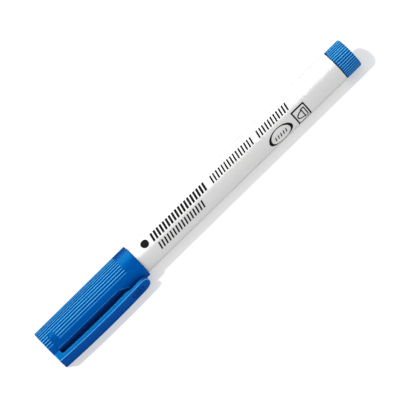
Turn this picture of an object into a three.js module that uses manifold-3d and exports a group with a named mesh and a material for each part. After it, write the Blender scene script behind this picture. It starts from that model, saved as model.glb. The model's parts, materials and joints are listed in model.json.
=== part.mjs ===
// A slim capped felt tip marker, lying at rest on its cap and on the edge of its pocket clip.
// Millimetres, +Z up. The marker's axis runs along X, with the cap's closed end at -X and the end
// plug at +X. The origin is under the middle of the whole object, on the surface that it lies on.
//
// Every piece is first built with the clip upright: stations are distances from the cap's closed end,
// the clip points along +Z, and angles round the axis are measured from the clip towards +Y.

import * as THREE from 'three';
import { mergeVertices } from 'three/addons/utils/BufferGeometryUtils.js';
import Module from 'manifold-3d';

const wasm = await Module();
wasm.setup();

const DEG = Math.PI / 180;

// Whole marker
const LENGTH = 140;
const GAP = 0.3;                  // clearance between neighbouring pieces
const ROUND = 48;                 // facets round most of the turned pieces
const FINE_ROUND = 72;            // facets round the barrel and the cap
const FACET = 6 * DEG;            // step along other round outlines
const CUT_PAST = 1;               // how far a cutter runs past the face that it opens

// Cap
const CAP_LENGTH = 41.4;
const CAP_RADIUS = 6.4;
const CAP_BORE = 5.25;
const CAP_END_WALL = 1.4;
const CAP_CORNER = 0.35;          // bevel round the closed end
const RIB_PITCH = 9 * DEG;
const RIB_HEIGHT = 0.3;
const RIB_CREST = 0.42;           // share of the pitch that the crest takes
const RIB_FOOT = 0.72;            // share of the pitch that the rib's foot takes
const CAP_RIBS_END = 36.2;        // the ribs stop here and a plain band runs to the mouth
const CAP_FIRST_RIB = 63 * DEG;   // nearest rib to the clip, the same on both sides
const CAP_CUT = 4 * CAP_RADIUS;   // width of a cutter that crosses the whole cap

// Flat under the clip
const FLAT_DEPTH = 4.85;          // its distance from the axis
const FLAT_START = 2.4;
const FLAT_END = 30;
const FLAT_RAMP = 19 * DEG;
const FLAT_WALL = 0.9;

// Smooth recess across the ribs, beside the closed end
const RECESS_START = 2.4;
const RECESS_WIDTH = 3;
const RECESS_REACH = 96 * DEG;    // where its round end stops
const RECESS_DEPTH = 0.4;
const RECESS_ROUND = 24;          // facets of its round end

// Pocket clip
const CLIP_WIDTH = 7.6;
const CLIP_TOP = 8.8;             // outer face's distance from the axis, at the top of its bow
const CLIP_BOW = 0.55;            // how far the bow drops towards either end
const CLIP_END = 39.8;
const CLIP_THICKNESS = 1.57;
const CLIP_TIP_THICKNESS = 1.1;
const CLIP_THINS_AT = 31.5;
const CLIP_THIN_LENGTH = 1.6;
const CLIP_STEPS = 16;            // straight steps along the bow
const CLIP_TIP_STEPS = 10;        // straight steps round the tip
const ROOT_LENGTH = 2.4;
const ROOT_FOOT_WIDTH = 8.2;

// Cap liner
const LINER_BORE = 3.0;
const LINER_RADIUS = 3.5;
const LINER_START = CAP_END_WALL + GAP;
const LINER_FLOOR = 0.8;
const LINER_END = 20.5;
const LINER_LIP = 0.35;

// Front section, the nib holder
const COLLAR_START = 33.4;        // the part that the cap's mouth grips
const COLLAR_RADIUS = 4.95;
const SNAP_BEAD = 0.14;
const SNAP_BEAD_AT = 38;
const SNAP_BEAD_HALF = 0.7;
const NOSE_START = 17;
const NOSE_RADIUS = 2.65;
const NOSE_CYLINDER_END = 21;
const CONE_RADIUS = 3.65;
const CONE_END = 31.6;
const TAIL_END = 51;

// Nib
const NIB_RADIUS = 1.95;
const NIB_HOLE = NIB_RADIUS + GAP;
const NIB_TIP = 11;
const NIB_SHOULDER = 3.4;         // length of the rounded point
const NIB_STEPS = 7;              // rings along the rounded point
const NIB_ROUND = 32;
const NIB_END = 55;

// Barrel
const BARREL_START = CAP_LENGTH + GAP;
const BARREL_FRONT_RADIUS = 5.46;
const BARREL_REAR_RADIUS = 5.72;
const BARREL_WALL = 0.9;
const BARREL_EDGE = 0.15;

// Ink reservoir and its film wrap
const RESERVOIR_START = 52.2;
const RESERVOIR_END = 124.5;
const RESERVOIR_RADIUS = 3.75;
const WRAP_WALL = 0.15;

// End plug
const PLUG_START = 133.5;
const PLUG_RADIUS = 5.7;
const PLUG_RIB_TURN = 2.4 * DEG;  // angle of its first rib
const PLUG_COLLAR = 0.5;          // plain edge in front of the ribs
const PLUG_CORNER = 0.6;
const SPIGOT_START = 125.6;
const SPIGOT_RADIUS = 4.5;
const SPIGOT_BEVEL = 0.4;
const PLUG_BORE = 3.4;
const PLUG_END_WALL = 1.6;

// ---------------------------------------------------------------- helpers

const AXES = {
  alongX: new THREE.Matrix4().makeBasis(
    new THREE.Vector3(0, 1, 0), new THREE.Vector3(0, 0, 1), new THREE.Vector3(1, 0, 0)),
  acrossY: new THREE.Matrix4().makeBasis(
    new THREE.Vector3(1, 0, 0), new THREE.Vector3(0, 0, 1), new THREE.Vector3(0, -1, 0)),
};

// A closed solid from a geometry, with coincident points joined.
function solidOf(geometry) {
  geometry.deleteAttribute('normal');
  geometry.deleteAttribute('uv');
  const merged = mergeVertices(geometry, 1e-4);
  const index = merged.index.array;
  const triangles = [];
  for (let i = 0; i < index.length; i += 3) {
    const [a, b, c] = [index[i], index[i + 1], index[i + 2]];
    if (a !== b && b !== c && c !== a) triangles.push(a, b, c);
  }
  return new wasm.Manifold(new wasm.Mesh({
    numProp: 3,
    vertProperties: Float32Array.from(merged.attributes.position.array),
    triVerts: Uint32Array.from(triangles),
  }));
}

function geometryOf(solid) {
  const mesh = solid.getMesh();
  const geometry = new THREE.BufferGeometry();
  geometry.setAttribute('position', new THREE.BufferAttribute(mesh.vertProperties, 3));
  geometry.setIndex(new THREE.BufferAttribute(mesh.triVerts, 1));
  geometry.computeVertexNormals();
  return geometry;
}

// A solid turned about the marker's axis from a closed outline of [station, radius] points.
function turned(outline, facets = ROUND) {
  let area = 0;
  outline.forEach(([s, r], i) => {
    const [nextS, nextR] = outline[(i + 1) % outline.length];
    area += s * nextR - nextS * r;
  });
  const points = area > 0 ? outline.slice().reverse() : outline.slice();
  points.push(points[0]);
  const profile = points.map(([s, r]) => new THREE.Vector2(r, s));
  return solidOf(new THREE.LatheGeometry(profile, facets).rotateZ(-Math.PI / 2));
}

// A solid pushed along the marker from a cross-section shape (x across, y away from the axis).
function lengthwise(shape, start, end) {
  const geometry = new THREE.ExtrudeGeometry(shape, { depth: end - start, bevelEnabled: false });
  return solidOf(geometry.applyMatrix4(AXES.alongX).translate(start, 0, 0));
}

// A solid pushed across the marker from a side-view shape (x along it, y away from the axis).
function crosswise(shape, width) {
  const geometry = new THREE.ExtrudeGeometry(shape, { depth: width, bevelEnabled: false });
  return solidOf(geometry.applyMatrix4(AXES.acrossY).translate(0, width / 2, 0));
}

// Outline of a round section with ribs standing between the two given angles.
function ribbedShape(crest, firstRib, lastRib) {
  const points = [];
  const add = (angle, radius) => points.push(
    new THREE.Vector2(radius * Math.sin(angle), radius * Math.cos(angle)));
  const count = Math.round((lastRib - firstRib) / RIB_PITCH) + 1;
  for (let i = 0; i < count; i++) {
    const middle = firstRib + i * RIB_PITCH;
    add(middle - RIB_PITCH * RIB_FOOT / 2, crest - RIB_HEIGHT);
    add(middle - RIB_PITCH * RIB_CREST / 2, crest);
    add(middle + RIB_PITCH * RIB_CREST / 2, crest);
    add(middle + RIB_PITCH * RIB_FOOT / 2, crest - RIB_HEIGHT);
  }
  // the plain stretch, where the ribs leave one
  const plain = 2 * Math.PI - (lastRib - firstRib) - 2 * RIB_PITCH;
  const steps = Math.round(plain / FACET);
  for (let i = 0; i <= steps && plain > 0; i++) {
    add(lastRib + RIB_PITCH + plain * i / steps, crest);
  }
  return new THREE.Shape(points.reverse());
}

// ---------------------------------------------------------------- cap

// Side view of the space beyond a flat at the given depth, with the ramp at its end.
function beyondFlat(start, depth) {
  const beyond = CAP_CUT / 2;
  const rampRun = (beyond - depth) / Math.tan(FLAT_RAMP);
  return new THREE.Shape([
    new THREE.Vector2(start, depth),
    new THREE.Vector2(FLAT_END, depth),
    new THREE.Vector2(FLAT_END + rampRun, beyond),
    new THREE.Vector2(start, beyond),
  ]);
}

// A short band round the cap with a half-round end, standing over the ribs.
function recessCutter() {
  const half = RECESS_WIDTH / 2;
  const middle = RECESS_START + half;
  const reach = RECESS_REACH - half / CAP_RADIUS;
  const floor = CAP_RADIUS - RECESS_DEPTH;
  const steps = Math.round(reach / FACET);
  const sector = [new THREE.Vector2(0, 0)];
  for (let i = 0; i <= steps; i++) {
    const angle = reach * i / steps;
    sector.push(new THREE.Vector2(Math.sin(angle), Math.cos(angle)).multiplyScalar(CAP_CUT / 2));
  }
  const band = lengthwise(new THREE.Shape(sector.reverse()), RECESS_START, RECESS_START + RECESS_WIDTH);
  const end = solidOf(new THREE.CylinderGeometry(half, half, CAP_RADIUS, RECESS_ROUND)
    .translate(0, CAP_RADIUS, 0)
    .rotateX(Math.PI / 2 - reach)
    .translate(middle, 0, 0));
  const inside = turned([[0, 0], [0, floor], [CAP_LENGTH, floor], [CAP_LENGTH, 0]], FINE_ROUND);
  return band.add(end).subtract(inside);
}

function clipTopAt(station) {
  const middle = CLIP_END / 2;
  return CLIP_TOP - CLIP_BOW * ((station - middle) / middle) ** 2;
}

function clipRoot() {
  const top = clipTopAt(ROOT_LENGTH / 2);
  const foot = FLAT_DEPTH - FLAT_WALL / 2;
  return lengthwise(new THREE.Shape([
    new THREE.Vector2(-ROOT_FOOT_WIDTH / 2, foot),
    new THREE.Vector2(ROOT_FOOT_WIDTH / 2, foot),
    new THREE.Vector2(CLIP_WIDTH / 2, top),
    new THREE.Vector2(-CLIP_WIDTH / 2, top),
  ]), 0, ROOT_LENGTH);
}

function capShell() {
  const lastRib = 2 * Math.PI - CAP_FIRST_RIB;
  const ribbed = lengthwise(ribbedShape(CAP_RADIUS, CAP_FIRST_RIB, lastRib), 0, CAP_RIBS_END);
  const envelope = turned([
    [0, 0],
    [0, CAP_RADIUS - CAP_CORNER],
    [CAP_CORNER, CAP_RADIUS],
    [CAP_CORNER, CAP_RADIUS + GAP],
    [CAP_RIBS_END + CUT_PAST, CAP_RADIUS + GAP],
    [CAP_RIBS_END + CUT_PAST, 0],
  ]);
  const band = turned([
    [CAP_RIBS_END, 0],
    [CAP_RIBS_END, CAP_RADIUS],
    [CAP_LENGTH, CAP_RADIUS],
    [CAP_LENGTH, 0],
  ], FINE_ROUND);
  const bore = turned([
    [CAP_END_WALL, 0],
    [CAP_END_WALL, CAP_BORE],
    [CAP_LENGTH + CUT_PAST, CAP_BORE],
    [CAP_LENGTH + CUT_PAST, 0],
  ], FINE_ROUND);
  const innerFlat = crosswise(beyondFlat(0, FLAT_DEPTH - FLAT_WALL), CAP_CUT);
  const outerFlat = crosswise(beyondFlat(FLAT_START, FLAT_DEPTH), CAP_CUT);
  return ribbed.intersect(envelope)
    .add(band)
    .subtract(outerFlat)
    .subtract(recessCutter())
    .add(clipRoot())
    .subtract(bore.subtract(innerFlat));
}

function pocketClip() {
  const start = ROOT_LENGTH + GAP;
  const outer = [];
  const inner = [];
  for (let i = 0; i <= CLIP_STEPS; i++) {
    const station = start + (CLIP_END - start) * i / CLIP_STEPS;
    const thinned = THREE.MathUtils.clamp((station - CLIP_THINS_AT) / CLIP_THIN_LENGTH, 0, 1);
    const thickness = THREE.MathUtils.lerp(CLIP_THICKNESS, CLIP_TIP_THICKNESS, thinned);
    outer.push(new THREE.Vector2(station, clipTopAt(station)));
    inner.push(new THREE.Vector2(station, clipTopAt(station) - thickness));
  }
  const bar = crosswise(new THREE.Shape([...inner, ...outer.reverse()]), CLIP_WIDTH);
  const radius = CLIP_WIDTH / 2;
  const plan = new THREE.Shape();
  plan.moveTo(0, -radius);
  plan.lineTo(CLIP_END - radius, -radius);
  plan.absarc(CLIP_END - radius, 0, radius, -Math.PI / 2, Math.PI / 2);
  plan.lineTo(0, radius);
  const upright = new THREE.ExtrudeGeometry(plan, {
    depth: CLIP_TOP + CUT_PAST,
    bevelEnabled: false,
    curveSegments: CLIP_TIP_STEPS,
  });
  return bar.intersect(solidOf(upright));
}

function capLiner() {
  const floor = LINER_START + LINER_FLOOR;
  return turned([
    [LINER_START, 0],
    [LINER_START, LINER_RADIUS],
    [LINER_END - LINER_LIP, LINER_RADIUS],
    [LINER_END, LINER_RADIUS - LINER_LIP],
    [LINER_END, LINER_BORE],
    [floor, LINER_BORE],
    [floor, 0],
  ]);
}

// ---------------------------------------------------------------- writing end

function frontSection() {
  const tail = BARREL_FRONT_RADIUS - BARREL_WALL - GAP;
  return turned([
    [NOSE_START, NIB_HOLE],
    [NOSE_START, NOSE_RADIUS - BARREL_EDGE],
    [NOSE_START + BARREL_EDGE, NOSE_RADIUS],
    [NOSE_CYLINDER_END, NOSE_RADIUS],
    [CONE_END, CONE_RADIUS],
    [COLLAR_START, COLLAR_RADIUS],
    [SNAP_BEAD_AT - SNAP_BEAD_HALF, COLLAR_RADIUS],
    [SNAP_BEAD_AT, COLLAR_RADIUS + SNAP_BEAD],
    [SNAP_BEAD_AT + SNAP_BEAD_HALF, COLLAR_RADIUS],
    [CAP_LENGTH, COLLAR_RADIUS],
    [CAP_LENGTH, tail],
    [TAIL_END, tail],
    [TAIL_END, NIB_HOLE],
  ]);
}

function nib() {
  const outline = [];
  for (let i = 0; i <= NIB_STEPS; i++) {
    const turn = (i / NIB_STEPS) * Math.PI / 2;
    outline.push([NIB_TIP + NIB_SHOULDER * (1 - Math.cos(turn)), NIB_RADIUS * Math.sin(turn)]);
  }
  outline.push([NIB_END, NIB_RADIUS], [NIB_END, 0]);
  return turned(outline, NIB_ROUND);
}

// ---------------------------------------------------------------- barrel and what it holds

function barrel() {
  const end = PLUG_START - GAP;
  return turned([
    [BARREL_START, BARREL_FRONT_RADIUS - BARREL_WALL],
    [BARREL_START, BARREL_FRONT_RADIUS - BARREL_EDGE],
    [BARREL_START + BARREL_EDGE, BARREL_FRONT_RADIUS],
    [end - BARREL_EDGE, BARREL_REAR_RADIUS],
    [end, BARREL_REAR_RADIUS - BARREL_EDGE],
    [end, BARREL_REAR_RADIUS - BARREL_WALL],
  ], FINE_ROUND);
}

function inkReservoir() {
  const pierced = NIB_END + GAP;
  return turned([
    [RESERVOIR_START, NIB_RADIUS + GAP],
    [RESERVOIR_START, RESERVOIR_RADIUS],
    [RESERVOIR_END, RESERVOIR_RADIUS],
    [RESERVOIR_END, 0],
    [pierced, 0],
    [pierced, NIB_RADIUS + GAP],
  ]);
}

function reservoirWrap() {
  const inside = RESERVOIR_RADIUS + GAP;
  return turned([
    [RESERVOIR_START, inside],
    [RESERVOIR_START, inside + WRAP_WALL],
    [RESERVOIR_END, inside + WRAP_WALL],
    [RESERVOIR_END, inside],
  ]);
}

function endPlug() {
  const lastRib = PLUG_RIB_TURN + 2 * Math.PI - RIB_PITCH;
  const ribbed = lengthwise(ribbedShape(PLUG_RADIUS, PLUG_RIB_TURN, lastRib),
    PLUG_START + PLUG_COLLAR, LENGTH);
  const envelope = turned([
    [PLUG_START, 0],
    [PLUG_START, PLUG_RADIUS + GAP],
    [LENGTH - PLUG_CORNER, PLUG_RADIUS + GAP],
    [LENGTH - PLUG_CORNER, PLUG_RADIUS],
    [LENGTH, PLUG_RADIUS - PLUG_CORNER],
    [LENGTH, 0],
  ]);
  const collar = turned([
    [SPIGOT_START, PLUG_BORE],
    [SPIGOT_START, SPIGOT_RADIUS - SPIGOT_BEVEL],
    [SPIGOT_START + SPIGOT_BEVEL, SPIGOT_RADIUS],
    [PLUG_START, SPIGOT_RADIUS],
    [PLUG_START, PLUG_RADIUS],
    [PLUG_START + PLUG_COLLAR, PLUG_RADIUS],
    [PLUG_START + PLUG_COLLAR, PLUG_BORE],
  ], FINE_ROUND);
  const bore = turned([
    [SPIGOT_START - CUT_PAST, 0],
    [SPIGOT_START - CUT_PAST, PLUG_BORE],
    [LENGTH - PLUG_END_WALL, PLUG_BORE],
    [LENGTH - PLUG_END_WALL, 0],
  ]);
  return ribbed.intersect(envelope).add(collar).subtract(bore);
}

// ---------------------------------------------------------------- assembly

const BLUE = { color: 0x0a56a6, roughness: 0.42, metalness: 0 };
const PLUG_BLUE = { color: 0x1767b4, roughness: 0.42, metalness: 0 };
const WHITE = { color: 0xe9ebec, roughness: 0.38, metalness: 0 };
const FIBRE = { color: 0xd9dce0, roughness: 0.95, metalness: 0 };
const FILM = { color: 0xf2f4f5, roughness: 0.25, metalness: 0 };
const INKED = { color: 0x123f86, roughness: 0.9, metalness: 0 };
const LINER = { color: 0x1560ae, roughness: 0.5, metalness: 0 };

const PIECES = [
  ['barrel', barrel, WHITE],
  ['front_section', frontSection, WHITE],
  ['nib', nib, INKED],
  ['ink_reservoir', inkReservoir, FIBRE],
  ['reservoir_wrap', reservoirWrap, FILM],
  ['end_plug', endPlug, PLUG_BLUE],
  ['cap_shell', capShell, BLUE],
  ['cap_liner', capLiner, LINER],
  ['pocket_clip', pocketClip, BLUE],
];

// Roll about the axis at which the clip's lower edge touches the surface that the cap lies on.
function restRoll() {
  const half = CLIP_WIDTH / 2;
  const edge = Math.hypot(CLIP_TOP, half);
  return Math.acos(-CAP_RADIUS / edge) - Math.atan2(half, CLIP_TOP);
}

const marker = new THREE.Group();
marker.rotation.x = restRoll();
for (const [name, build, look] of PIECES) {
  const mesh = new THREE.Mesh(geometryOf(build()), new THREE.MeshStandardMaterial(look));
  mesh.name = name;
  mesh.position.x = -LENGTH / 2;
  marker.add(mesh);
}

// The origin goes to the middle of the bottom of the object's box.
marker.updateMatrixWorld(true);
const box = new THREE.Box3().setFromObject(marker, true);
const middle = box.getCenter(new THREE.Vector3());
marker.position.set(-middle.x, -middle.y, -box.min.z);

const root = new THREE.Group();
root.add(marker);
export default root;
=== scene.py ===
"""Looks of a slim capped felt tip marker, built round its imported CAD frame."""

import json
import math

import bmesh
import bpy
from mathutils import Matrix, Vector


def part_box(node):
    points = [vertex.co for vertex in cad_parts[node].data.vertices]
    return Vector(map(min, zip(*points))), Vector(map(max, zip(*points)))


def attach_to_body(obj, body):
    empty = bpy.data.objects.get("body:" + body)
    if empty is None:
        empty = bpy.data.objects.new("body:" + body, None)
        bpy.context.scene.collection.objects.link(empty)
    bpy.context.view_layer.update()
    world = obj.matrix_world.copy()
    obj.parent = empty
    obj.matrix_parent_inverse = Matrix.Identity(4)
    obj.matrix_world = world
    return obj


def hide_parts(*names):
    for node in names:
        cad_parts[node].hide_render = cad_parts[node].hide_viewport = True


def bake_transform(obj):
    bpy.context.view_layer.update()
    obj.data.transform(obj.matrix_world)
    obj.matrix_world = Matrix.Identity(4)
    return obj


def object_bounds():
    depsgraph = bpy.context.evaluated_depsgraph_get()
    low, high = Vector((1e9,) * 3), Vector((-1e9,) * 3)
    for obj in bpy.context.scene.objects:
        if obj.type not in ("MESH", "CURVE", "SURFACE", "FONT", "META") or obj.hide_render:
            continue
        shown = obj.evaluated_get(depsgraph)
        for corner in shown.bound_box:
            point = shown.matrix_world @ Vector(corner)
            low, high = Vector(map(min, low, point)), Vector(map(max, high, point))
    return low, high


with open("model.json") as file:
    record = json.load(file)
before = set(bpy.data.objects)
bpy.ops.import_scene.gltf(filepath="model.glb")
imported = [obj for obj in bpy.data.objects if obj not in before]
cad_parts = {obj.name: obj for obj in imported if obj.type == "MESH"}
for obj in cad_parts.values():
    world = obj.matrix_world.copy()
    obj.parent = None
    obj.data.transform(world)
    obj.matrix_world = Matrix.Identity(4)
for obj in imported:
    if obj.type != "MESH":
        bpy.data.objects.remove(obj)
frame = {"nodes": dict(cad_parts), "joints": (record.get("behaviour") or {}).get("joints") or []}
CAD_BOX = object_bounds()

MM = 0.001
DEG = math.pi / 180

# ------------------------------------------------------------------ places, from the frame
# Pieces are built in the marker's own millimetres: s along it from the cap's closed end, z away
# from its axis on the clip's side, y across. Angles run from the clip (z) towards y.

BARREL_LOW, BARREL_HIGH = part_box("barrel")
AXIS_Y = (BARREL_LOW.y + BARREL_HIGH.y) / 2
AXIS_Z = (BARREL_LOW.z + BARREL_HIGH.z) / 2
START_X = CAD_BOX[0].x
FLEX = next(j for j in frame["joints"] if j["name"] == "clip_flex")
ROLL = math.atan2(-FLEX["axis"][2], -FLEX["axis"][1])
PLACE = Matrix.Translation((START_X, AXIS_Y, AXIS_Z)) @ Matrix.Rotation(ROLL, 4, "X") @ Matrix.Scale(MM, 4)


def station(x):
    """Distance of a frame x from the cap's closed end, in millimetres."""
    return (x - START_X) / MM


def placed(s, y, z):
    """A point of the marker as a point of the frame, in metres."""
    return PLACE @ Vector((s, y, z))


LENGTH = station(CAD_BOX[1].x)
CAP_LENGTH = station(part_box("cap_shell")[1].x)
CLIP_END = station(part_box("pocket_clip")[1].x)
BARREL_START = CAP_LENGTH + 0.1
BARREL_END = station(BARREL_HIGH.x)
PLUG_START = 133.5

# ------------------------------------------------------------------ dimensions, millimetres

CAP_R = 6.397
CAP_BORE = 5.25
CAP_END_WALL = 1.4
RIB_PITCH = 9 * DEG
RIB_HEIGHT = 0.3
RIB_HALF = 0.37              # half of a rib's width, as a share of the pitch
HIGHLIGHT_HALF = 0.2              # half of the painted highlight line's width on a crest, likewise
RIBS_END = 36.1
RIBS_FADE = 0.25             # length over which they run out
FIRST_RIB = 63 * DEG
FLAT = 4.85                  # distance of the flat under the clip from the axis
FLAT_START = 2.4
FLAT_END = 30.0
FLAT_RAMP = 19 * DEG
FLAT_WALL = 0.9
FLAT_REACH = 80 * DEG        # angle from the clip beyond which the flat can't cut in
RAMP_END = FLAT_END + (CAP_R - FLAT) / math.tan(FLAT_RAMP)
RECESS = (2.4, 5.4)
RECESS_REACH = 96 * DEG
RECESS_DEPTH = 0.33
RECESS_WALL = 0.22           # width of its sloped wall

CLIP_W = 7.6
CLIP_TOP = 8.8
CLIP_BOW = 0.55
CLIP_THICK = 1.57
CLIP_TIP_THICK = 1.1
CLIP_THINS = (31.5, 33.1)
TIP_BLUNT = 2.5              # 2 makes the tip's plan a half circle, more makes it squarer
ROOT = 2.4                   # end of the clip's root block, which closes the slot under the clip
ROOT_FILLET = 0.8
EDGE_ROUND = 0.24            # of the clip's long edges

BARREL_R0 = 5.46
BARREL_R1 = 5.72
BARREL_WALL = 0.9
PLUG_R = 5.7


# ------------------------------------------------------------------ mesh helpers

MERGE = 1e-7                 # metres; vertices nearer than this become one


def mesh_object(name, verts, faces, material, sharp=38 * DEG, painted_highlight=None):
    """A smooth-shaded mesh piece in the frame, with creases where faces meet at more than sharp.
    painted_highlight gives each vertex's share of the paler painted highlight colour, from 0 to 1."""
    mesh = bpy.data.meshes.new(name)
    mesh.from_pydata([tuple(v) for v in verts], [], [tuple(f) for f in faces])
    mesh.transform(PLACE)
    layer = mesh.attributes.new("painted_highlight", "FLOAT", "POINT")
    layer.data.foreach_set("value", painted_highlight or [0.0] * len(verts))
    bm = bmesh.new()
    bm.from_mesh(mesh)
    bmesh.ops.remove_doubles(bm, verts=bm.verts, dist=MERGE)
    bmesh.ops.dissolve_degenerate(bm, edges=bm.edges, dist=MERGE)
    bmesh.ops.recalc_face_normals(bm, faces=bm.faces)
    for face in bm.faces:
        face.smooth = True
    for edge in bm.edges:
        edge.smooth = len(edge.link_faces) == 2 and edge.calc_face_angle(0) < sharp
    bm.to_mesh(mesh)
    bm.free()
    mesh.materials.append(material)
    obj = bpy.data.objects.new(name, mesh)
    bpy.context.scene.collection.objects.link(obj)
    return obj


def quarter_turn(steps):
    """Angles of a quarter turn in equal steps, both ends included."""
    return [k / steps * math.pi / 2 for k in range(steps + 1)]


def grid_faces(rows, columns, closed=False):
    """Quads between neighbouring rows of vertices, where each row goes all the way round."""
    faces = []
    for i in range(rows if closed else rows - 1):
        k = (i + 1) % rows
        for j in range(columns):
            n = (j + 1) % columns
            faces.append((i * columns + j, i * columns + n, k * columns + n, k * columns + j))
    return faces


def outline(corners, steps=5):
    """A profile through [s, r, fillet radius] corners, each fillet an arc of a few steps."""
    points = []
    count = len(corners)
    for i, (s, r, fillet) in enumerate(corners):
        here = Vector((s, r))
        if fillet == 0 or i in (0, count - 1):
            points.append(here)
            continue
        back = Vector(corners[i - 1][:2]) - here
        ahead = Vector(corners[i + 1][:2]) - here
        half = back.angle(ahead) / 2
        reach = min(fillet / math.tan(half), back.length * 0.49, ahead.length * 0.49)
        radius = reach * math.tan(half)
        centre = here + (back.normalized() + ahead.normalized()).normalized() * (radius / math.sin(half))
        first = here + back.normalized() * reach - centre
        last = here + ahead.normalized() * reach - centre
        sweep = first.angle_signed(last)
        for k in range(steps + 1):
            turn = Matrix.Rotation(-sweep * k / steps, 2)
            points.append(centre + turn @ first)
    return [(p.x, p.y) for p in points]


def revolve(name, profile, material, facets=96, radius=None, highlight_paint=None):
    """A piece turned from an open profile whose ends lie on the axis, or from a closed one.
    radius(s, r, angle) may change the radius round the turn; highlight_paint(s, r, angle) gives its painted
    highlight."""
    closed = profile[0] == profile[-1]
    rows = profile[:-1] if closed else profile
    verts, painted_highlight = [], []
    for s, r in rows:
        for j in range(facets):
            a = 2 * math.pi * j / facets
            q = radius(s, r, a) if radius else r
            verts.append((s, q * math.sin(a), q * math.cos(a)))
            painted_highlight.append(highlight_paint(s, r, a) if highlight_paint else 0.0)
    return mesh_object(name, verts, grid_faces(len(rows), facets, closed), material, painted_highlight=painted_highlight)


def smoothstep(x):
    """0 up to x = 0, 1 from x = 1, and a soft rise between them."""
    x = min(max(x, 0.0), 1.0)
    return x * x * (3 - 2 * x)


# ------------------------------------------------------------------ materials

def material(name):
    made = bpy.data.materials.new(name)
    made.use_nodes = True
    nodes = made.node_tree.nodes
    return made, nodes, made.node_tree.links, nodes["Principled BSDF"]


def node(nodes, kind, **values):
    made = nodes.new(kind)
    for key, value in values.items():
        if key in made.inputs:
            made.inputs[key].default_value = value
        else:
            setattr(made, key, value)
    return made


def noise(nodes, links, coords, scale, detail=2.0, stretch=None):
    """Noise at a real scale (features of about 1/scale metres), stretched along the marker."""
    mapping = node(nodes, "ShaderNodeMapping")
    mapping.inputs["Scale"].default_value = stretch or (1, 1, 1)
    links.new(coords, mapping.inputs["Vector"])
    made = node(nodes, "ShaderNodeTexNoise", Scale=scale, Detail=detail)
    links.new(mapping.outputs["Vector"], made.inputs["Vector"])
    return made.outputs["Fac"]


def ramp(nodes, links, value, stops):
    """A value as a colour, by (place, colour) stops."""
    made = nodes.new("ShaderNodeValToRGB")
    made.color_ramp.elements[0].position = stops[0][0]
    made.color_ramp.elements[0].color = stops[0][1]
    made.color_ramp.elements[1].position = stops[-1][0]
    made.color_ramp.elements[1].color = stops[-1][1]
    for place, colour in stops[1:-1]:
        made.color_ramp.elements.new(place).color = colour
    links.new(value, made.inputs["Fac"])
    return made.outputs["Color"]


def spread(nodes, links, value, low, high):
    """The middle part of a noise, where nearly all of it lies, stretched over low to high."""
    made = node(nodes, "ShaderNodeMapRange")
    made.inputs["From Min"].default_value = 0.3
    made.inputs["From Max"].default_value = 0.7
    made.inputs["To Min"].default_value = low
    made.inputs["To Max"].default_value = high
    links.new(value, made.inputs["Value"])
    return made.outputs["Result"]


def highlight_painted_over(nodes, links, colour, highlight_paint, scuff):
    """A colour with a paler colour laid patchily over it as a painted highlight, where the mesh's share says
    so.
    """
    painted_highlight = node(nodes, "ShaderNodeAttribute", attribute_name="painted_highlight").outputs["Fac"]
    patchy = node(nodes, "ShaderNodeMath", operation="MULTIPLY")
    links.new(painted_highlight, patchy.inputs[0])
    links.new(spread(nodes, links, scuff, 0.65, 1.0), patchy.inputs[1])
    paler = node(nodes, "ShaderNodeMix", data_type="RGBA")
    links.new(patchy.outputs["Value"], paler.inputs["Factor"])
    links.new(colour, paler.inputs["A"])
    paler.inputs["B"].default_value = highlight_paint
    return paler.outputs["Result"]


def moulded(name, dark, light, rough, grain=0.06, gloss=0.5, tint=(1, 1, 1, 1), highlight_paint=None):
    """Injection-moulded plastic: slow colour drift along the flow, fine spark-eroded grain, light scuffs,
    and with highlight_paint a paler colour painted on its crests and edges as a highlight. rough is the
    range of its roughness and grain the strength of its bump."""
    made, nodes, links, shader = material(name)
    coords = nodes.new("ShaderNodeTexCoord").outputs["Object"]
    flow = noise(nodes, links, coords, 260, 3, (0.16, 1, 1))
    colour = ramp(nodes, links, flow, [(0.25, dark), (0.75, light)])
    fine = noise(nodes, links, coords, 9000, 2)
    scuff = noise(nodes, links, coords, 1400, 4, (0.12, 1, 1))
    if highlight_paint:
        colour = highlight_painted_over(nodes, links, colour, highlight_paint, scuff)
    links.new(colour, shader.inputs["Base Color"])
    relief = node(nodes, "ShaderNodeMath", operation="MULTIPLY_ADD")
    links.new(scuff, relief.inputs[0])
    relief.inputs[1].default_value = 0.5
    links.new(fine, relief.inputs[2])
    links.new(spread(nodes, links, scuff, rough[0], rough[1]), shader.inputs["Roughness"])
    bump = node(nodes, "ShaderNodeBump", Strength=grain, Distance=0.00004)
    links.new(relief.outputs["Value"], bump.inputs["Height"])
    links.new(bump.outputs["Normal"], shader.inputs["Normal"])
    shader.inputs["IOR"].default_value = 1.49
    shader.inputs["Specular IOR Level"].default_value = gloss
    shader.inputs["Specular Tint"].default_value = tint
    return made


def felt(name, dark, light, fibres):
    """Pressed fibre: streaks along the marker, no gloss, and a soft edge sheen."""
    made, nodes, links, shader = material(name)
    coords = nodes.new("ShaderNodeTexCoord").outputs["Object"]
    streak = noise(nodes, links, coords, fibres, 4, (0.18, 1, 1))
    links.new(ramp(nodes, links, streak, [(0.35, dark), (0.65, light)]), shader.inputs["Base Color"])
    shader.inputs["Roughness"].default_value = 0.85
    shader.inputs["Sheen Weight"].default_value = 0.25
    bump = node(nodes, "ShaderNodeBump", Strength=0.5, Distance=0.00008)
    links.new(streak, bump.inputs["Height"])
    links.new(bump.outputs["Normal"], shader.inputs["Normal"])
    return made


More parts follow.
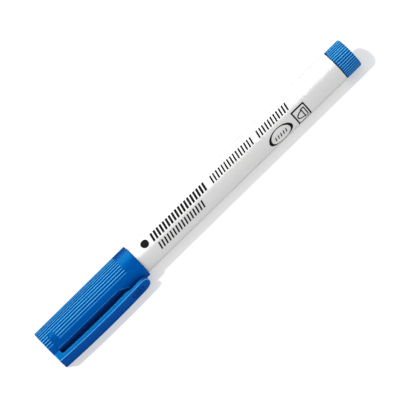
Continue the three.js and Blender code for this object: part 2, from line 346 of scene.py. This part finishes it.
def printed_ink(name):
    """Pad-printed black ink: opaque, a little uneven and matt on the glossy plastic under it."""
    made, nodes, links, shader = material(name)
    coords = nodes.new("ShaderNodeTexCoord").outputs["Object"]
    patch = noise(nodes, links, coords, 2600, 3)
    colours = [(0.3, (0.006, 0.006, 0.007, 1)), (0.8, (0.02, 0.02, 0.022, 1))]
    links.new(ramp(nodes, links, patch, colours), shader.inputs["Base Color"])
    links.new(spread(nodes, links, patch, 0.5, 0.65), shader.inputs["Roughness"])
    shader.inputs["Specular IOR Level"].default_value = 0.12
    return made


def plain_floor(name):
    """A pale sheet lit a little from below, as on a light table, so that shadows on it stay soft."""
    made, nodes, links, shader = material(name)
    coords = nodes.new("ShaderNodeTexCoord").outputs["Object"]
    tone = noise(nodes, links, coords, 3, 2)
    colours = [(0.3, (0.4, 0.4, 0.4, 1)), (0.7, (0.41, 0.41, 0.41, 1))]
    links.new(ramp(nodes, links, tone, colours), shader.inputs["Base Color"])
    shader.inputs["Roughness"].default_value = 0.9
    shader.inputs["Specular IOR Level"].default_value = 0.1
    shader.inputs["Emission Color"].default_value = (1, 1, 1, 1)
    shader.inputs["Emission Strength"].default_value = 0.44
    return made


# the last, paler colour of each blue plastic is a painted highlight for its crests and edges
BLUE = moulded("cap_plastic", (0.0, 0.058, 0.29, 1), (0.0, 0.065, 0.315, 1), (0.32, 0.4), 0.03, 0.14,
               (0, 0.8, 1, 1), highlight_paint=(0.11, 0.5, 0.92, 1))
# the plug's paler colour is likewise a painted highlight on its rib crests
PLUG_BLUE = moulded("plug_plastic", (0.0, 0.058, 0.265, 1), (0.0, 0.066, 0.29, 1), (0.3, 0.4), 0.03, 0.34,
                    (0.3, 0.85, 1, 1), highlight_paint=(0.085, 0.44, 0.86, 1))
MARK_BLUE = moulded("mark_plastic", (0.0, 0.018, 0.12, 1), (0.0, 0.022, 0.14, 1), (0.4, 0.5), 0.03, 0.14,
                    (0, 0.8, 1, 1))
LINER_BLUE = moulded("liner_plastic", (0.0, 0.08, 0.33, 1), (0.0, 0.09, 0.36, 1), (0.4, 0.5), 0.08, 0.04,
                     (0, 0.8, 1, 1))
# the barrel's roughness hardly varies, because a wider range shows as dark specks when seen end-on
WHITE = moulded("barrel_plastic", (0.63, 0.633, 0.628, 1), (0.65, 0.653, 0.645, 1), (0.279, 0.281), 0.004,
                0.3)
INK = printed_ink("print_ink")
NIB_FELT = felt("nib_felt", (0.002, 0.02, 0.13, 1), (0.006, 0.06, 0.3, 1), 5200)
FIBRE = felt("fibre_bundle", (0.02, 0.1, 0.32, 1), (0.1, 0.25, 0.5, 1), 3600)
FILM = moulded("clear_film", (0.85, 0.86, 0.87, 1), (0.9, 0.9, 0.9, 1), (0.12, 0.2), 0.02)


# ------------------------------------------------------------------ cap shell

def rib_columns():
    """Angles round the cap outside the plain zone: several to each rib, more where it curves."""
    shares = [-0.5, -0.41, -0.37, -0.33, -0.25, -0.13, 0.0, 0.13, 0.25, 0.33, 0.37, 0.41]
    count = round((2 * math.pi - 2 * FIRST_RIB) / RIB_PITCH)
    columns = [FIRST_RIB + share * RIB_PITCH for share in shares if share >= 0]
    for k in range(1, count):
        columns += [FIRST_RIB + (k + share) * RIB_PITCH for share in shares]
    columns += [FIRST_RIB + (count + share) * RIB_PITCH for share in shares if share < 0]
    return columns + [FIRST_RIB + count * RIB_PITCH]


def rib_share(angle, first):
    """Place of an angle across its rib, from -0.5 to 0.5 with the crest at 0, for ribs from the first on."""
    return ((angle - first) / RIB_PITCH + 0.5) % 1 - 0.5


def rib_round(angle, first):
    """1 on a rib's crest and 0 at the foot between two ribs."""
    return math.sqrt(max(0.0, 1 - (rib_share(angle, first) / RIB_HALF) ** 2))


def crest_highlight(angle, first):
    """Painted highlight along the middle of each rib's crest."""
    return max(0.0, 1 - abs(rib_share(angle, first)) / HIGHLIGHT_HALF)


def rib_level(angle):
    """Like rib_round for the cap's ribs, and 1 on the plain surface beside them."""
    angle = angle % (2 * math.pi)
    if angle < FIRST_RIB or angle > 2 * math.pi - FIRST_RIB:
        return 1.0
    return rib_round(angle, FIRST_RIB)


def flat_distance(s, depth):
    """Distance from the axis of the flat, or of the ramp that ends it, at station s."""
    return depth + max(0.0, s - FLAT_END) * math.tan(FLAT_RAMP)


def flat_edge(s):
    """Angle from the clip at which the flat meets the round surface; it closes where the ramp ends."""
    distance = flat_distance(s, FLAT)
    if distance < CAP_R:
        return math.acos(distance / CAP_R)
    reopened = min(1.0, (s - FLAT_END) * math.tan(FLAT_RAMP) / (CAP_R - FLAT) - 1.0)
    return reopened * math.acos(FLAT / CAP_R)


def recess_level(s, angle):
    """1 inside the recess beside the closed end, falling to 0 across its short sloped wall."""
    middle = (RECESS[0] + RECESS[1]) / 2
    half = (RECESS[1] - RECESS[0]) / 2
    beyond = max(0.0, (angle - RECESS_REACH) * CAP_R + half)
    inside = half - math.hypot(s - middle, beyond)
    return smoothstep(inside / RECESS_WALL)


def cap_outer(s, angle, flat_cut):
    """Radius of the cap's outside, with the flat under the clip cut into it or not."""
    ribbed = 1 - smoothstep((s - RIBS_END + RIBS_FADE) / RIBS_FADE)
    radius = CAP_R * (1 - RIB_HEIGHT / CAP_R * (1 - rib_level(angle)) * ribbed)
    if 0 < angle < RECESS_REACH:
        radius = min(radius, CAP_R - RECESS_DEPTH * recess_level(s, angle))
    if flat_cut and abs(angle) < FLAT_REACH:
        radius = min(radius, flat_distance(s, FLAT) / math.cos(angle))
    return radius


def cap_inner(s, angle):
    """Radius of the cap's bore, which the wall behind the flat narrows."""
    wrapped = (angle + math.pi) % (2 * math.pi) - math.pi
    if abs(wrapped) > FLAT_REACH:
        return CAP_BORE
    return min(CAP_BORE, flat_distance(s, FLAT - FLAT_WALL) / math.cos(wrapped))


def cap_rows():
    """Rows of the cap's surface as (station, where the radius comes from, its scale): from the axis out
    over the closed end, along the outside, round the mouth and back inside to the axis."""
    dish, corner, lip, mouth_draft, bore_lip, bore_corner = 0.18, 0.35, 0.22, 0.03, 0.2, 0.5
    rows = []
    for share in (0.0, 0.12, 0.3, 0.36, 0.42, 0.6, 0.8, 0.9):
        rows.append((dish * (1 - smoothstep((share - 0.3) / 0.12)), "outer", share))
    for turn in quarter_turn(6):
        inset = corner * (1 - math.sin(turn))
        rows.append((corner * (1 - math.cos(turn)), "outer", 1 - inset / CAP_R))
    rows += [(s, "outer", 1) for s in (0.8, 1.4, 2.0, 2.34, FLAT_START)]
    count = 22
    width = RECESS[1] - RECESS[0]
    rows += [(RECESS[0] + width * k / count, "flat", 1) for k in range(count + 1)]
    rows += [(s, "flat", 1) for s in (5.6, 7, 10, 14, 18, 22, 26, 29, FLAT_END)]
    rows += [(FLAT_END + (RAMP_END - FLAT_END) * k / 10, "flat", 1) for k in range(1, 11)]
    rows += [(s, "flat", 1) for s in (35.2, 35.7, 35.85, 35.93, 36.0, 36.05, 36.1, 36.6, 37.5, 38.6, 39.6)]
    for turn in quarter_turn(6):
        inset = lip * (1 - math.cos(turn)) + mouth_draft
        rows.append((CAP_LENGTH - lip + lip * math.sin(turn), "flat", 1 - inset / CAP_R))
    for turn in quarter_turn(4):
        outset = bore_lip * (1 - math.sin(turn))
        rows.append((CAP_LENGTH - bore_lip * (1 - math.cos(turn)), "inner", 1 + outset / CAP_BORE))
    rows += [(s, "inner", 1) for s in (40.6, 38, 36, 35, 34.4, 33.9, 33, 32, 31, FLAT_END, 20, 10, 3)]
    for turn in quarter_turn(4):
        inset = bore_corner * (1 - math.cos(turn))
        rows.append((CAP_END_WALL + bore_corner * (1 - math.sin(turn)), "inner", 1 - inset / CAP_BORE))
    return rows + [(CAP_END_WALL, "inner", share) for share in (0.6, 0.3, 0.0)]


def cap_angles(edge, ribs):
    """Angles of one row's vertices. In the plain zone they follow the flat's edges; the ribs' are fixed."""
    plain_before_highlight = FIRST_RIB - HIGHLIGHT_HALF * RIB_PITCH
    side = [-plain_before_highlight + share * (plain_before_highlight - edge) for share in (0.0, 0.25, 0.5, 0.75, 0.95)]
    shares = [-1, -0.98] + [k / 12 for k in range(-11, 12)] + [0.98, 1]
    return side + [share * edge for share in shares] + [-angle for angle in reversed(side)] + ribs


def cap_highlight(s, angle, edge, on_flat):
    """Painted highlight on the cap's outside: along the ribs' crests, and on the edges of the flat."""
    wrapped = angle % (2 * math.pi)
    recessed = cap_outer(s, angle, False) < CAP_R - RIB_HEIGHT - 0.01
    if FIRST_RIB <= wrapped <= 2 * math.pi - FIRST_RIB and s < RIBS_END and not recessed:
        outermost = min(wrapped, 2 * math.pi - wrapped) < FIRST_RIB + RIB_PITCH / 2
        return crest_highlight(wrapped, FIRST_RIB) * (0.5 if outermost else 1.0)
    return 0.8 if on_flat and s < RAMP_END and abs(abs(angle) - edge) < 0.001 else 0.0


def cap_shell():
    rows, ribs = cap_rows(), rib_columns()
    rim = 0.93                      # share of the radius from which the closed end's edge can carry the painted highlight
    verts, painted_highlight = [], []
    for s, kind, scale in rows:
        edge, on_flat = flat_edge(s), kind == "flat"
        for angle in cap_angles(edge, ribs):
            radius = cap_inner(s, angle) if kind == "inner" else cap_outer(s, angle, on_flat)
            radius *= scale
            verts.append((s, radius * math.sin(angle), radius * math.cos(angle)))
            highlighted = kind != "inner" and scale > rim
            # paler colour as a painted highlight on rib crests and the flat's edges
            painted_highlight.append(cap_highlight(s, angle, edge, on_flat) if highlighted else 0.0)
    faces = grid_faces(len(rows), len(verts) // len(rows))
    return mesh_object("cap_shell_moulding", verts, faces, BLUE, 40 * DEG, painted_highlight)


# ------------------------------------------------------------------ pocket clip, with its root in the cap

def clip_top(s):
    """Distance of the clip's top from the axis: it bows a little, highest at the middle."""
    middle = CLIP_END / 2
    return CLIP_TOP - CLIP_BOW * ((s - middle) / middle) ** 2


def clip_thickness(s):
    thinned = smoothstep((s - CLIP_THINS[0]) / (CLIP_THINS[1] - CLIP_THINS[0]))
    return CLIP_THICK + (CLIP_TIP_THICK - CLIP_THICK) * thinned


def clip_profile(tip):
    """Side view of the clip as two lists of (s, z, normal s, normal z): top and underside, root to tip.
    Both start at the foot of the root block, inside the cap's wall, and the block's end face stands a
    hair behind the cap's."""
    foot = FLAT - FLAT_WALL / 2
    front = 0.03
    straight = CLIP_END - CLIP_W / 2
    stations = [2.0 + (straight - 2.0) * k / 30 for k in range(31)]
    shares = [math.sin(k / tip * math.pi / 2) ** (2 / TIP_BLUNT) for k in range(1, tip + 1)]
    stations += [straight + CLIP_W / 2 * share for share in shares]
    corner = 0.4
    top = [(front, z, -1, 0) for z in (foot, 6.4, 7.4)]
    for turn in quarter_turn(6):
        s = front + corner * (1 - math.cos(turn))
        z = clip_top(corner) - corner * (1 - math.sin(turn))
        top.append((s, z, -math.cos(turn), math.sin(turn)))
    top += [(s, clip_top(s), 0, 1) for s in [0.8, 1.4] + stations]
    ceiling = clip_top(ROOT + ROOT_FILLET) - clip_thickness(ROOT)
    under = [(ROOT, foot, 1, 0), (ROOT, 5.6, 1, 0), (ROOT, ceiling - ROOT_FILLET - 0.1, 1, 0)]
    for turn in quarter_turn(6):
        s = ROOT + ROOT_FILLET * (1 - math.cos(turn))
        z = ceiling - ROOT_FILLET * (1 - math.sin(turn))
        under.append((s, z, math.cos(turn), -math.sin(turn)))
    under += [(s, clip_top(s) - clip_thickness(s), 0, -1) for s in stations if s > ROOT + ROOT_FILLET + 0.1]
    return top, under


def clip_half_width(s):
    """Half width in plan and the plan outline's outward normal, at station s."""
    half = CLIP_W / 2
    straight = CLIP_END - half
    if s <= straight:
        return half, (0.0, 1.0)
    along = min(1.0, (s - straight) / half)
    across = max(0.0, 1 - along ** TIP_BLUNT) ** (1 / TIP_BLUNT)
    normal = Vector((along ** (TIP_BLUNT - 1), across ** (TIP_BLUNT - 1))).normalized()
    return half * across, (normal.x, normal.y)


def clip_rows(points, highlight_paint, verts, painted_highlight):
    """Rows of vertices across the clip for each profile point, with both edges rounded over. They are
    added to verts and their painted highlight to painted_highlight; what comes back is each row's vertex
    numbers."""
    across, turns = 10, quarter_turn(4)
    edge = [highlight_paint * math.sin(2 * turn) for turn in turns]
    rows = []
    for s, z, ns, nz in points:
        half, (ms, my) = clip_half_width(s)
        row = []
        for turn in turns:
            side, drop = EDGE_ROUND * (1 - math.cos(turn)), EDGE_ROUND * (1 - math.sin(turn))
            row.append((s - ns * drop - ms * side, max(0.0, half - my * side), z - nz * drop))
        flat_s, flat_half, flat_z = row[-1]
        inner = [(flat_s, flat_half * (1 - 2 * k / across), flat_z) for k in range(1, across)]
        full = row + inner + [(a, -b, c) for a, b, c in reversed(row)]
        first = len(verts)
        verts.extend(full)
        painted_highlight.extend(edge + [0.0] * len(inner) + edge[::-1])
        rows.append(list(range(first, first + len(full))))
    return rows


def pocket_clip():
    tip = 18
    top, under = clip_profile(tip)
    verts, faces, painted_highlight = [], [], []
    # painted highlight along the clip's edges: full on the top ones, weaker underneath
    top_rows, under_rows = clip_rows(top, 1.0, verts, painted_highlight), clip_rows(under, 0.3, verts, painted_highlight)
    for rows in (top_rows, under_rows):
        for a, b in zip(rows, rows[1:]):
            faces.extend((a[k], a[k + 1], b[k + 1], b[k]) for k in range(len(a) - 1))
    # side walls: one flat polygon up to the tip, then a ladder round the tip
    for end in (0, -1):
        upper = [row[end] for row in top_rows]
        lower = [row[end] for row in under_rows]
        faces.append(tuple(upper[:-tip]) + tuple(reversed(lower[:-tip])))
        for a, b, c, d in zip(upper[-tip - 1:], upper[-tip:], lower[-tip:], lower[-tip - 1:]):
            faces.append((a, b, c, d))
    # the foot, hidden inside the cap's wall
    faces.append(tuple(top_rows[0]) + tuple(reversed(under_rows[0])))
    return mesh_object("pocket_clip_moulding", verts, faces, BLUE, 40 * DEG, painted_highlight)


def clip_mark():
    """A plain mark near the clip's tip: two oval rings, one in the other, that stand a hair proud of it."""
    middle, lift, sunk, width, turns = 34.4, 0.05, 0.05, 0.56, 64
    verts, faces = [], []
    for half_length, half_height in ((2.4, 1.75), (1.0, 0.75)):
        first = len(verts)
        ring = [(-width / 2, -sunk), (-width / 3, lift), (width / 3, lift), (width / 2, -sunk)]
        count = len(ring)
        for k in range(turns):
            turn = 2 * math.pi * k / turns
            for out, height in ring:
                s = middle + (half_length + out) * math.cos(turn)
                verts.append((s, (half_height + out) * math.sin(turn), clip_top(s) + height))
        for k in range(turns):
            here, ahead = first + k * count, first + (k + 1) % turns * count
            for i in range(count):
                n = (i + 1) % count
                faces.append((here + i, here + n, ahead + n, ahead + i))
    return mesh_object("clip_mark_rings", verts, faces, MARK_BLUE, 60 * DEG)


# ------------------------------------------------------------------ turned pieces

def cap_liner():
    low, high = station(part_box("cap_liner")[0].x), station(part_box("cap_liner")[1].x)
    profile = outline([
        (low, 0, 0), (low, 3.5, 0.2), (high, 3.5, 0.3), (high, 3.0, 0.18),
        (low + 0.8, 3.0, 0.3), (low + 0.8, 0, 0),
    ])
    return revolve("cap_liner_cup", profile, LINER_BLUE, 72)


def front_section():
    low, high = station(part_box("front_section")[0].x), station(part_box("front_section")[1].x)
    profile = outline([
        (low + 3, 2.25, 0), (low, 2.25, 0.12), (low, 2.65, 0.22), (21, 2.65, 1.5), (31.6, 3.65, 0.8),
        (33.4, 4.95, 0.35), (37.3, 4.95, 0.3), (38, 5.09, 0.5), (38.7, 4.95, 0.3),
        (41.38, 4.95, 0.1), (41.4, 4.26, 0), (high, 4.26, 0.3), (high, 2.25, 0), (low + 3, 2.25, 0),
    ])
    return revolve("nose_moulding", profile, WHITE, 96)


def felt_nib():
    low, high = station(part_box("nib")[0].x), station(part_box("nib")[1].x)
    radius, bullet, chamfer = 1.95, 3.4, 0.2
    points = [(low, 0.0)]
    for turn in quarter_turn(12)[1:]:
        points.append((low + bullet * (1 - math.cos(turn)), radius * math.sin(turn)))
    points += [(low + 5, radius), (high - chamfer, radius), (high, radius - chamfer), (high, 0.0)]
    return revolve("felt_nib", points, NIB_FELT, 48)


def barrel_radius(s):
    share = (s - BARREL_START) / (BARREL_END - BARREL_START)
    return BARREL_R0 + (BARREL_R1 - BARREL_R0) * share


def barrel_tube():
    inner0, inner1 = BARREL_R0 - BARREL_WALL, BARREL_R1 - BARREL_WALL
    profile = outline([
        (BARREL_START + 20, inner0, 0), (BARREL_START, inner0, 0.1), (BARREL_START, BARREL_R0, 0.15),
        (BARREL_END, BARREL_R1, 0.12), (BARREL_END, inner1, 0.1), (BARREL_START + 20, inner0, 0),
    ])
    return revolve("barrel_tube", profile, WHITE, 128)


def end_plug():
    start, end = PLUG_START, LENGTH
    collar, corner, crest = 0.12, 0.65, 0.32
    bore, end_wall, spigot_start, spigot_r, chamfer = 3.4, 1.6, 125.6, 4.5, 0.2
    turned = 2.4 * DEG               # angle of the first rib
    face = 4.7                       # radius of the plain end face inside the ribs
    rows = [(end - end_wall, 0.0), (end - end_wall, bore), (spigot_start, bore)]
    rows += [(spigot_start, spigot_r - chamfer), (spigot_start + chamfer, spigot_r)]
    rows += [(start - 0.02, spigot_r), (start, spigot_r + 0.05), (start, 5.55)]
    rows += [(start + 0.03, PLUG_R - 0.03), (start + 0.07, PLUG_R), (start + collar, PLUG_R)]
    rows += [(start + collar + 0.1 * k, PLUG_R) for k in (1, 2)]
    rows += [(s, PLUG_R) for s in (135, 136.5, 138, end - corner - 0.1)]
    for turn in quarter_turn(8):
        rows.append((end - corner + corner * math.sin(turn), PLUG_R - corner * (1 - math.cos(turn))))
    rows += [(end, 4.6), (end, 3.2), (end - 0.03, 3.1), (end - 0.15, 2.95), (end - 0.18, 2.8)]
    rows += [(end - 0.18, 0.9), (end - 0.18, 0.0)]

    def ribbed(s, r, angle):
        depth = crest * (1 - rib_round(angle, turned)) * smoothstep((s - start - collar) / 0.2)
        return r - depth * smoothstep((r - face) / 0.4)

    # painted highlight along the plug's rib crests
    def highlight_paint(s, r, angle):
        return crest_highlight(angle, turned) if s > start + collar and r > face else 0.0

    return revolve("ribbed_end_plug", rows, PLUG_BLUE, 480, ribbed, highlight_paint)


# ------------------------------------------------------------------ print on the barrel

PRINT_LIFT = 0.015
FACING = 66 * DEG            # angle round the barrel that the print's centre line faces


def print_patch(bm, points):
    """One printed shape, a polygon of (s, across) points laid round the barrel; across in mm of arc."""
    verts = []
    for s, across in points:
        radius = barrel_radius(s) + PRINT_LIFT
        angle = FACING - across / barrel_radius(s)
        verts.append(bm.verts.new((s, radius * math.sin(angle), radius * math.cos(angle))))
    bm.faces.new(verts)


def print_strip(bm, left, right):
    """A strip of quads between two rows of (s, across) points."""
    for k in range(len(left) - 1):
        print_patch(bm, [left[k], left[k + 1], right[k + 1], right[k]])


def stroke(bm, path, width, closed=False):
    """A printed line of one width along a path of (s, across) points."""
    points = [Vector(p) for p in path]
    count = len(points)
    left, right = [], []
    for k, point in enumerate(points):
        before = points[(k - 1) % count] if closed or k else point
        after = points[(k + 1) % count] if closed or k < count - 1 else point
        along = (after - before).normalized()
        first = (point - before).normalized() if (point - before).length else along
        second = (after - point).normalized() if (after - point).length else along
        spread_out = width / 2 / max(0.5, math.sqrt(max(0.0, (1 + first.dot(second)) / 2)))
        normal = Vector((-along.y, along.x)) * spread_out
        left.append(tuple(point + normal))
        right.append(tuple(point - normal))
    if closed:
        left.append(left[0])
        right.append(right[0])
    print_strip(bm, left, right)


def slanted_row(bm, start, end, low, high, pitch, width, lean=0.22):
    """A row of equal leaning strokes, the plain pattern that stands where the maker prints words."""
    count = round((end - start) / pitch)
    rise, steps = high - low, 8
    for k in range(count):
        s = start + pitch * (k + 0.5)
        left, right = [], []
        for i in range(steps + 1):
            across = low + rise * i / steps
            shift = s - lean * rise * (i / steps - 0.5)
            left.append((shift - width / 2, across))
            right.append((shift + width / 2, across))
        print_strip(bm, left, right)


def disc(bm, s, across, radius):
    """A printed disc about (s, across)."""
    turns = [math.pi * (k / 12 - 0.5) for k in range(13)]
    left = [(s - radius * math.cos(t), across + radius * math.sin(t)) for t in turns]
    right = [(s + radius * math.cos(t), across + radius * math.sin(t)) for t in turns]
    print_strip(bm, left, right)


def polyline(corners, steps, closed=False):
    """Points along straight lines between corners, so that long strokes follow the barrel round."""
    ends = corners[1:] + corners[:1] if closed else corners[1:]
    points = []
    for a, b in zip(corners, ends):
        points += [tuple(Vector(a).lerp(Vector(b), k / steps)) for k in range(steps)]
    return points if closed else points + [corners[-1]]


def barrel_print():
    """Plain stand-ins for the print: rows of leaning strokes, a disc, an oval and a boxed bullet tip."""
    bm = bmesh.new()
    disc(bm, 46.9, -2.25, 1.5)
    slanted_row(bm, 49.6, 74.7, -3.6, -0.5, 1.4, 0.85)
    slanted_row(bm, 76.9, 96.0, -3.4, -0.5, 1.3, 0.6)
    slanted_row(bm, 98.2, 112.6, -3.4, -0.5, 1.3, 0.6)
    slanted_row(bm, 49.7, 70.3, 0.6, 3.3, 1.3, 0.6)
    low, high = 1.0, 6.95
    middle, half = (low + high) / 2, (high - low) / 2
    oval, oval_half, inner_half = 104.3, 5.1, 4.0
    turns = [a * DEG for a in range(0, 361, 5)]
    outer = [(oval + oval_half * math.cos(t), middle + half * math.sin(t)) for t in turns]
    inner = [(oval + inner_half * math.cos(t), middle + (half - 0.3) * math.sin(t)) for t in turns]
    print_strip(bm, outer, inner)
    slanted_row(bm, 101.4, 107.2, middle - 0.75, middle + 0.75, 1.16, 0.4)
    left, right = 111.4, 116.6
    square = [(left, low), (right, low), (right, high), (left, high)]
    stroke(bm, polyline(square, 16, closed=True), 0.54, closed=True)
    tip, base, far, thick, wide = left + 0.8, right - 2.0, right - 0.85, 1.5, 1.8
    bullet = [(tip + (base - tip) * abs(k / 16) ** 2.6, middle + thick * k / 16) for k in range(-16, 17)]
    stroke(bm, bullet, 0.46)
    holder = [(far, middle - wide), (base, middle - wide), (base, middle + wide), (far, middle + wide)]
    stroke(bm, polyline(holder, 12, closed=True), 0.4, closed=True)
    mesh = bpy.data.meshes.new("barrel_print")
    bm.to_mesh(mesh)
    bm.free()
    mesh.transform(PLACE)
    mesh.materials.append(INK)
    made = bpy.data.objects.new("barrel_print", mesh)
    bpy.context.scene.collection.objects.link(made)
    return made


# ------------------------------------------------------------------ build and attach

def attach(piece, body, slot, *nodes):
    """Puts a piece on a body, where it isn't blended, in the place of CAD nodes. slot is not used."""
    if body:
        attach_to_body(piece, body)
    if nodes:
        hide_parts(*nodes)


cap, clip, mark = cap_shell(), pocket_clip(), clip_mark()
tube, plug = barrel_tube(), end_plug()
attach(cap, "cap", "cap_blue", "cap_shell")
attach(cap_liner(), "cap", "liner_blue", "cap_liner")
attach(front_section(), "barrel", "barrel_white", "front_section")
attach(felt_nib(), "barrel", "inked_felt", "nib")
attach(tube, "barrel", "barrel_white", "barrel")
attach(plug, "barrel", "plug_blue", "end_plug")
attach(barrel_print(), "barrel", "barrel_white")
attach(mark, "clip", "cap_blue")
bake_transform(clip)
attach(clip, None, "cap_blue", "pocket_clip")

for name, look in (("ink_reservoir", FIBRE), ("reservoir_wrap", FILM)):
    for place in frame["nodes"][name].material_slots:
        place.link = "OBJECT"
        place.material = look


# ------------------------------------------------------------------ floor, light and camera

def floor():
    mesh = bpy.data.meshes.new("floor")
    half, level = 3.0, -0.00002
    corners = [(-half, -half), (half, -half), (half, half), (-half, half)]
    mesh.from_pydata([(x, y, level) for x, y in corners], [], [(0, 1, 2, 3)])
    mesh.materials.append(plain_floor("floor_sheet"))
    made = bpy.data.objects.new("floor", mesh)
    made.visible_glossy = False
    bpy.context.scene.collection.objects.link(made)
    return made


def hang(light, bearing, only=()):
    """Turns a light to shine on the marker from a bearing out of it; with only, it lights just those."""
    light.rotation_euler = Vector(bearing).to_track_quat("Z", "Y").to_euler()
    bpy.context.scene.collection.objects.link(light)
    if only:
        lit = bpy.data.collections.new(light.name + "_lit")
        for piece in only:
            lit.objects.link(piece)
        light.light_linking.receiver_collection = lit


def key(name, energy, only=()):
    """A small distant lamp over the cap's end, which throws the crisp shadow."""
    data = bpy.data.lights.new(name, "SUN")
    data.energy = energy
    data.angle = 3.5 * DEG
    hang(bpy.data.objects.new(name, data), (-0.45, 0.08, 1.0), only)


def panel(name, lean, width, radiance, colour=(1, 1, 1)):
    """A long flat area lamp 1 m from the marker, leaning by an angle away from the camera's side."""
    length = 1.4
    data = bpy.data.lights.new(name, "AREA")
    data.shape = "RECTANGLE"
    data.size, data.size_y = length, width
    data.energy = radiance * math.pi * length * width
    data.color = colour
    made = bpy.data.objects.new(name, data)
    made.location = (0, math.sin(lean), math.cos(lean))
    return made


def softbox(name, lean, half_angle, radiance, colour, only):
    """A panel that only gloss shows: the dome, the fill and the key do the rest of the lighting."""
    made = panel(name, lean, 2 * math.tan(half_angle), radiance, colour)
    made.visible_diffuse = made.visible_camera = False
    hang(made, made.location, only)


def fill(radiance, only):
    """A low panel on the camera's side."""
    made = panel("fill", -68 * DEG, 0.5, radiance)
    hang(made, made.location, only)


def dome(radiance):
    """Even light from all round, which gloss doesn't show."""
    world = bpy.data.worlds.new("dome")
    bpy.context.scene.world = world
    world.use_nodes = True
    background = world.node_tree.nodes["Background"]
    background.inputs["Color"].default_value = (1, 1, 1, 1)
    background.inputs["Strength"].default_value = radiance
    world.cycles_visibility.glossy = False


def lights(sheet):
    dome(0.86)
    fill(1.0, [cap, clip, mark, plug, sheet])
    key("key", 1.0)
    key("floor_key", 2.0, [sheet])
    softbox("narrow_softbox", 23 * DEG, 28 * DEG, 13, (0.4, 0.95, 1), [cap, clip, mark, plug])
    softbox("wide_softbox", 32 * DEG, 70 * DEG, 12, (1, 1, 1), [tube])


def camera():
    """Looks across the marker at the photograph's angle: the pen runs up to the right of the frame."""
    lean = 42.5 * DEG                 # of the line of sight from upright, towards the clip's side
    distance, offset = 1.25, -0.041   # metres from the marker; how far the foot lies towards the cap
    slope = 44.4 * DEG                # of the marker's axis in the frame
    scale = 3.025                     # frame widths are 400 units, this many to the millimetre
    sensor, units = 36, 400
    shift = 0.00028                   # metres that the frame's middle lies across from the axis
    across = Vector((0, -math.cos(lean), -math.sin(lean)))
    target = placed(70.2, 0, 0) + across * shift
    back = Vector((0, -math.sin(lean), math.cos(lean)))
    eye = target + back * distance + Vector((offset, 0, 0))
    view = (target - eye).normalized()
    along = Vector((1, 0, 0))
    right = math.cos(slope) * along + math.sin(slope) * across
    right = (right - right.dot(view) * view).normalized()
    up = right.cross(view)
    data = bpy.data.cameras.new("camera")
    data.sensor_width = sensor
    data.lens = sensor * scale * 1000 * (target - eye).length / units
    made = bpy.data.objects.new("camera", data)
    made.matrix_world = Matrix((
        (right.x, up.x, -view.x, eye.x),
        (right.y, up.y, -view.y, eye.y),
        (right.z, up.z, -view.z, eye.z),
        (0, 0, 0, 1),
    ))
    bpy.context.scene.collection.objects.link(made)
    bpy.context.scene.camera = made


lights(floor())
camera()
bpy.context.scene.view_settings.view_transform = "Standard"
